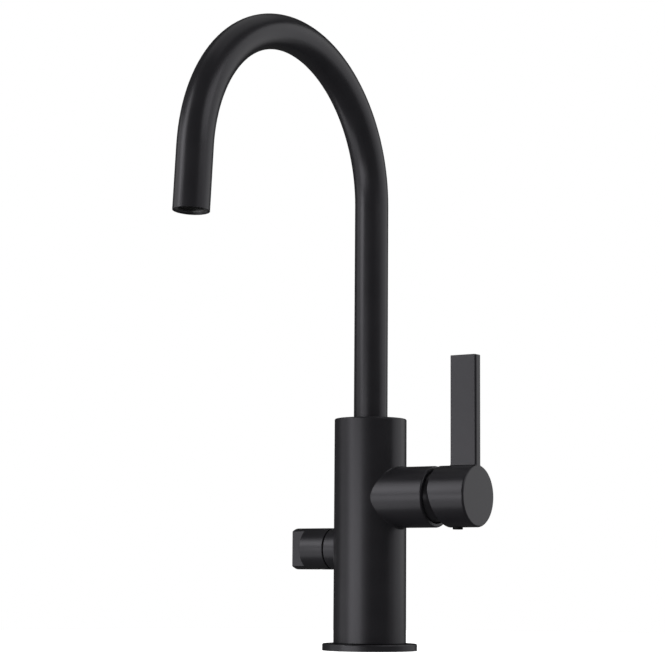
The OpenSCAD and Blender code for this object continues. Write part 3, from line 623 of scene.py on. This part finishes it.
# Places along the arm, and sizes across it from its axis: the hub, its blade, and the hub's hollow with
# the boss round the stem's adapter. The hub's inner edge slants away below a height over the worktop.
HUB_FACE = 0.083
HUB_INNER = 0.0559
HUB_SLANT = math.tan(math.radians(14))
SLANT_HEIGHT = 0.104
HUB_LIP = 0.0003
FACE_EDGE = 0.0014
BLADE_HALF = 0.00325
BLADE_TOP = 0.0915
BLADE_INNER = 0.0638
BLADE_EDGE = 0.0004
BLADE_CORNER = 0.00045
FOOT = 0.0008
FOOT_CENTRE = Vector((-BLADE_HALF - FOOT, math.sqrt((ARM_RADIUS + FOOT) ** 2 - (BLADE_HALF + FOOT) ** 2)))
FOOT_ANGLE = math.atan2(-FOOT_CENTRE.x, FOOT_CENTRE.y)
HUB_STEPS = 72
FOOT_STEPS = 6
SIDE_STEPS = 5
FACE_STEPS = 6
EDGE_STEPS = 4
CAVITY_RADIUS = 0.018
CAVITY_END = 0.0798
BOSS_START = 0.0625
BOSS_RADIUS = 0.0085
BORE_RADIUS = 0.00656
BORE_END = 0.0775


def both_sides(left):
    """A closed outline from its left half, given from the middle at the bottom to the middle at the top."""
    return left + [(-y, z, -angle, share) for y, z, angle, share in reversed(left[1:-1])]


def keyhole(inset):
    """Outline of hub and blade, moved inwards: y, z, angle on the hub's round, share of the blade."""
    left = []
    for k in range(HUB_STEPS + 1):
        angle = math.pi + (math.pi - FOOT_ANGLE) * k / HUB_STEPS
        left.append((*clock(ARM_RADIUS - inset, angle), angle, 0.0))
    edge_angle = math.asin((BLADE_HALF - BLADE_EDGE) / ARM_RADIUS)
    for k in range(1, FOOT_STEPS + 1):
        share = k / FOOT_STEPS
        turn = (FOOT_ANGLE - math.pi / 2) * (1 - share)
        spot = FOOT_CENTRE + (FOOT + inset) * Vector((math.cos(turn), math.sin(turn)))
        left.append((spot.x, spot.y, -FOOT_ANGLE + (FOOT_ANGLE - edge_angle) * share, share))
    round_off = max(BLADE_CORNER - inset, 0)
    side, top = BLADE_HALF - inset, BLADE_TOP - inset
    rise = top - round_off - FOOT_CENTRE.y
    upper = [(-side, FOOT_CENTRE.y + rise * k / SIDE_STEPS) for k in range(1, SIDE_STEPS)]
    for forward, sideways in rounded(EDGE_STEPS):
        upper.append((-side + round_off * forward, top - round_off * sideways))
    upper += [(-side / 2, top), (0, top)]
    for k, (y, z) in enumerate(upper):
        left.append((y, z, -edge_angle * (1 - (k + 1) / len(upper)), 1.0))
    return both_sides(left)


def hub_start(z):
    """Where the hub's inner edge lies at a height above the arm's axis."""
    return HUB_INNER + max(0.0, SLANT_HEIGHT - ARM_HEIGHT - z) * HUB_SLANT


def lever_shape():
    """Skin of the lever from the middle of its face over its edges, and back through the hub's hollow."""
    full = keyhole(0)
    loops = []
    for forward, sideways in rounded(FACE_STEPS):
        x = HUB_FACE - FACE_EDGE * forward
        loops.append([(x, y, z) for y, z, _, _ in keyhole(FACE_EDGE * sideways)])
    for forward, sideways in rounded(EDGE_STEPS):
        x = BLADE_INNER + BLADE_EDGE * sideways
        drawn_in = keyhole(BLADE_EDGE * forward)
        loops.append([(x, y + (inner_y - y) * share, z + (inner_z - z) * share)
                      for (y, z, _, share), (inner_y, inner_z, _, _) in zip(full, drawn_in)])
    for forward, sideways in rounded(FOOT_STEPS):
        x = BLADE_INNER - FOOT * forward
        loops.append([(x, *clock(ARM_RADIUS + FOOT * share * sideways, angle))
                      for _, _, angle, share in full])
    for forward, sideways in rounded(EDGE_STEPS):
        lip = [clock(ARM_RADIUS - HUB_LIP * forward, angle) for _, _, angle, _ in full]
        loops.append([(hub_start(z) + HUB_LIP * sideways, y, z) for y, z in lip])
    mouth = [clock(CAVITY_RADIUS, angle) for _, _, angle, _ in full]
    loops.append([(hub_start(z), y, z) for y, z in mouth])
    for radius, x in ((CAVITY_RADIUS, CAVITY_END), (BOSS_RADIUS, CAVITY_END), (BOSS_RADIUS, BOSS_START),
                      (BORE_RADIUS, BOSS_START), (BORE_RADIUS, BORE_END)):
        loops.append([(x, *clock(radius, angle)) for _, _, angle, _ in full])
    return skin(loops, ARM_HEIGHT)


def rod(start, end, radius, segments=48):
    """Closed cylinder between two points, as a tool that cuts or joins."""
    tool = bmesh.new()
    axis = Vector(end) - Vector(start)
    turned = axis.to_track_quat("Z", "Y").to_matrix().to_4x4()
    middle = Matrix.Translation((Vector(start) + Vector(end)) / 2)
    bmesh.ops.create_cone(tool, cap_ends=True, segments=segments, radius1=radius, radius2=radius,
                          depth=axis.length, matrix=middle @ turned)
    return tool


# The set screw's hole from below: wide where the plug sits, and narrower through a boss in the hollow.
SCREW_X = 0.0675
HUB_LOW = ARM_HEIGHT - ARM_RADIUS
HOLE_LOW = HUB_LOW - 0.001
SCREW_BOSS_RADIUS = 0.005
SCREW_BOSS_LOW = HUB_LOW + 0.0008
SCREW_BOSS_HIGH = ARM_HEIGHT - BOSS_RADIUS + 0.0006
PLUG_HOLE_RADIUS = 0.00335
PLUG_HOLE_HIGH = HUB_LOW + 0.003
SCREW_HOLE_RADIUS = 0.00255
SCREW_HOLE_HIGH = ARM_HEIGHT - 0.004
lever = add_piece("lever_casting", lever_shape(), coat, "lever", [
    ("UNION", rod((SCREW_X, 0, SCREW_BOSS_LOW), (SCREW_X, 0, SCREW_BOSS_HIGH), SCREW_BOSS_RADIUS)),
    ("DIFFERENCE", rod((SCREW_X, 0, HOLE_LOW), (SCREW_X, 0, PLUG_HOLE_HIGH), PLUG_HOLE_RADIUS)),
    ("DIFFERENCE", rod((SCREW_X, 0, HOLE_LOW), (SCREW_X, 0, SCREW_HOLE_HIGH), SCREW_HOLE_RADIUS))])
lever.modifiers.new("even_shading", "WEIGHTED_NORMAL").keep_sharp = True
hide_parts("lever_handle")
dress(arm_steel, "lever_stem")
dress(white_acetal, "stem_adapter")
dress(zinc_plated("screw_zinc", UP, (SCREW_X, 0, 0)), "handle_set_screw")
dress(black_moulding("plug_plastic"), "handle_screw_plug")


# Shut-off for the dishwasher
# A quarter-turn valve on the left: a brass headwork with two ceramic discs screws into the stub. Its
# knob is turned brass with two flats milled on the end, coated black and held by a set screw below.

# Places along the stub's axis, and sizes across it: the knob, its flats, and its hollow.
KNOB_FACE = -0.058
KNOB_START = -0.0295
KNOB_EDGE = 0.0005
KNOB_START_EDGE = 0.0004
FLAT_HALF = 0.0075
FLAT_START = -0.048
FLAT_EDGE = 0.0005
SHOULDER_EDGE = 0.0003
ROUND_STEPS = 24
CORNER_PARTS = 5
FLAT_PARTS = 12
ROOM_RADIUS = 0.011585
ROOM_END = -0.0343
SPINDLE_BORE = 0.00405
SPINDLE_END = -0.0441


def flats_corner(inset):
    """Where the knob's end turns from round to flat: radius of the corner, half its height, its angle."""
    round_off = max(FLAT_EDGE - inset, 0)
    half = FLAT_HALF - inset - round_off
    height = math.sqrt((STUB_RADIUS - inset - round_off) ** 2 - half ** 2)
    return round_off, height, math.atan2(half, height)


def flats_outline(inset):
    """Section of the knob's end, moved inwards: y, z, matching angle on the full round, share of flat."""
    round_off, height, corner_angle = flats_corner(inset)
    meets = flats_corner(0)[2]
    side = FLAT_HALF - inset
    left = []
    for k in range(ROUND_STEPS + 1):
        part = k / ROUND_STEPS
        left.append((*clock(STUB_RADIUS - inset, math.pi + corner_angle * part),
                     math.pi + meets * part, 0.0))
    sides = []
    for k in range(1, CORNER_PARTS + 1):
        angle = math.pi + corner_angle + (math.pi / 2 - corner_angle) * k / CORNER_PARTS
        sides.append((*clock(round_off, angle, round_off - side, -height), k / CORNER_PARTS))
    sides += [(-side, height * (2 * k / FLAT_PARTS - 1), 1.0) for k in range(1, FLAT_PARTS)]
    for k in range(CORNER_PARTS):
        angle = 1.5 * math.pi + (math.pi / 2 - corner_angle) * k / CORNER_PARTS
        sides.append((*clock(round_off, angle, round_off - side, height), 1 - k / CORNER_PARTS))
    for k, (y, z, share) in enumerate(sides):
        left.append((y, z, math.pi + meets + (math.pi - 2 * meets) * (k + 1) / (len(sides) + 1), share))
    for k in range(ROUND_STEPS + 1):
        rest = 1 - k / ROUND_STEPS
        left.append((*clock(STUB_RADIUS - inset, 2 * math.pi - corner_angle * rest),
                     2 * math.pi - meets * rest, 0.0))
    return both_sides(left)


def knob_shape():
    """Skin of the knob from the middle of its end over the flats and the round, and into its hollow."""
    full = flats_outline(0)
    loops = []
    for forward, sideways in rounded(CORNER_PARTS):
        loops.append([(KNOB_FACE + KNOB_EDGE * forward, y, z)
                      for y, z, _, _ in flats_outline(KNOB_EDGE * sideways)])
    loops.append([(FLAT_START, y, z) for y, z, _, _ in full])
    for forward, sideways in rounded(EDGE_STEPS):
        x = FLAT_START + SHOULDER_EDGE * forward
        loops.append([(x, *clock(STUB_RADIUS - SHOULDER_EDGE * share * sideways, angle))
                      for _, _, angle, share in full])
    rounds = [(STUB_RADIUS - KNOB_START_EDGE * forward, KNOB_START - KNOB_START_EDGE * sideways)
              for forward, sideways in rounded(EDGE_STEPS)]
    rounds += [(ROOM_RADIUS, KNOB_START), (ROOM_RADIUS, ROOM_END), (SPINDLE_BORE, ROOM_END),
               (SPINDLE_BORE, SPINDLE_END)]
    for radius, x in rounds:
        loops.append([(x, *clock(radius, angle)) for _, _, angle, _ in full])
    return skin(loops, STUB_HEIGHT)


KNOB_SCREW_X = -0.0393
KNOB_SCREW_RADIUS = 0.00205
KNOB_SCREW_LOW = STUB_HEIGHT - 0.015
KNOB_SCREW_HIGH = STUB_HEIGHT - 0.003
knob = add_piece("knob_with_flats", knob_shape(), coat, "shutoff", [
    ("DIFFERENCE", rod((KNOB_SCREW_X, 0, KNOB_SCREW_LOW), (KNOB_SCREW_X, 0, KNOB_SCREW_HIGH),
                       KNOB_SCREW_RADIUS, 32))])
knob.modifiers.new("even_shading", "WEIGHTED_NORMAL").keep_sharp = True
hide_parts("shutoff_knob")
dress(turned_brass("valve_brass", ALONG_ARM, VALVE_AXIS), "headwork_body", "headwork_spindle")
dress(rubber, "headwork_seal", "spindle_o_ring")
dress(ceramic, "headwork_fixed_disc", "headwork_moving_disc")
dress(zinc_plated("clip_zinc", ALONG_ARM, VALVE_AXIS), "spindle_clip")
dress(zinc_plated("knob_screw_zinc", UP, (KNOB_SCREW_X, 0, 0)), "knob_set_screw")


# Spout
# A bent brass tube, coated like the column. A brass spigot with two O-rings turns in the column's top
# on an acetal slide ring, held by a screw from behind. A black aerator sits just inside the outlet.

TIP_TILT = math.radians(4)
TIP_AXIS = (0, -math.sin(TIP_TILT), -math.cos(TIP_TILT))
TIP_PLACE = (0, -0.193, 0.296)
STOP_SCREW_AXIS = (0, 1, 0)
STOP_SCREW_PLACE = (0, 0, 0.137)
dress(coat, "spout_tube")
dress(turned_brass("spigot_brass", UP, MIDDLE), "spout_spigot")
dress(white_acetal, "spout_slide_ring")
dress(zinc_plated("stop_zinc", STOP_SCREW_AXIS, STOP_SCREW_PLACE), "spout_retaining_screw")
dress(rubber, "spout_o_rings", "aerator_seal")
dress(zinc_plated("aerator_steel", TIP_AXIS, TIP_PLACE), "aerator_housing")
dress(black_moulding("aerator_plastic"), "aerator_insert")
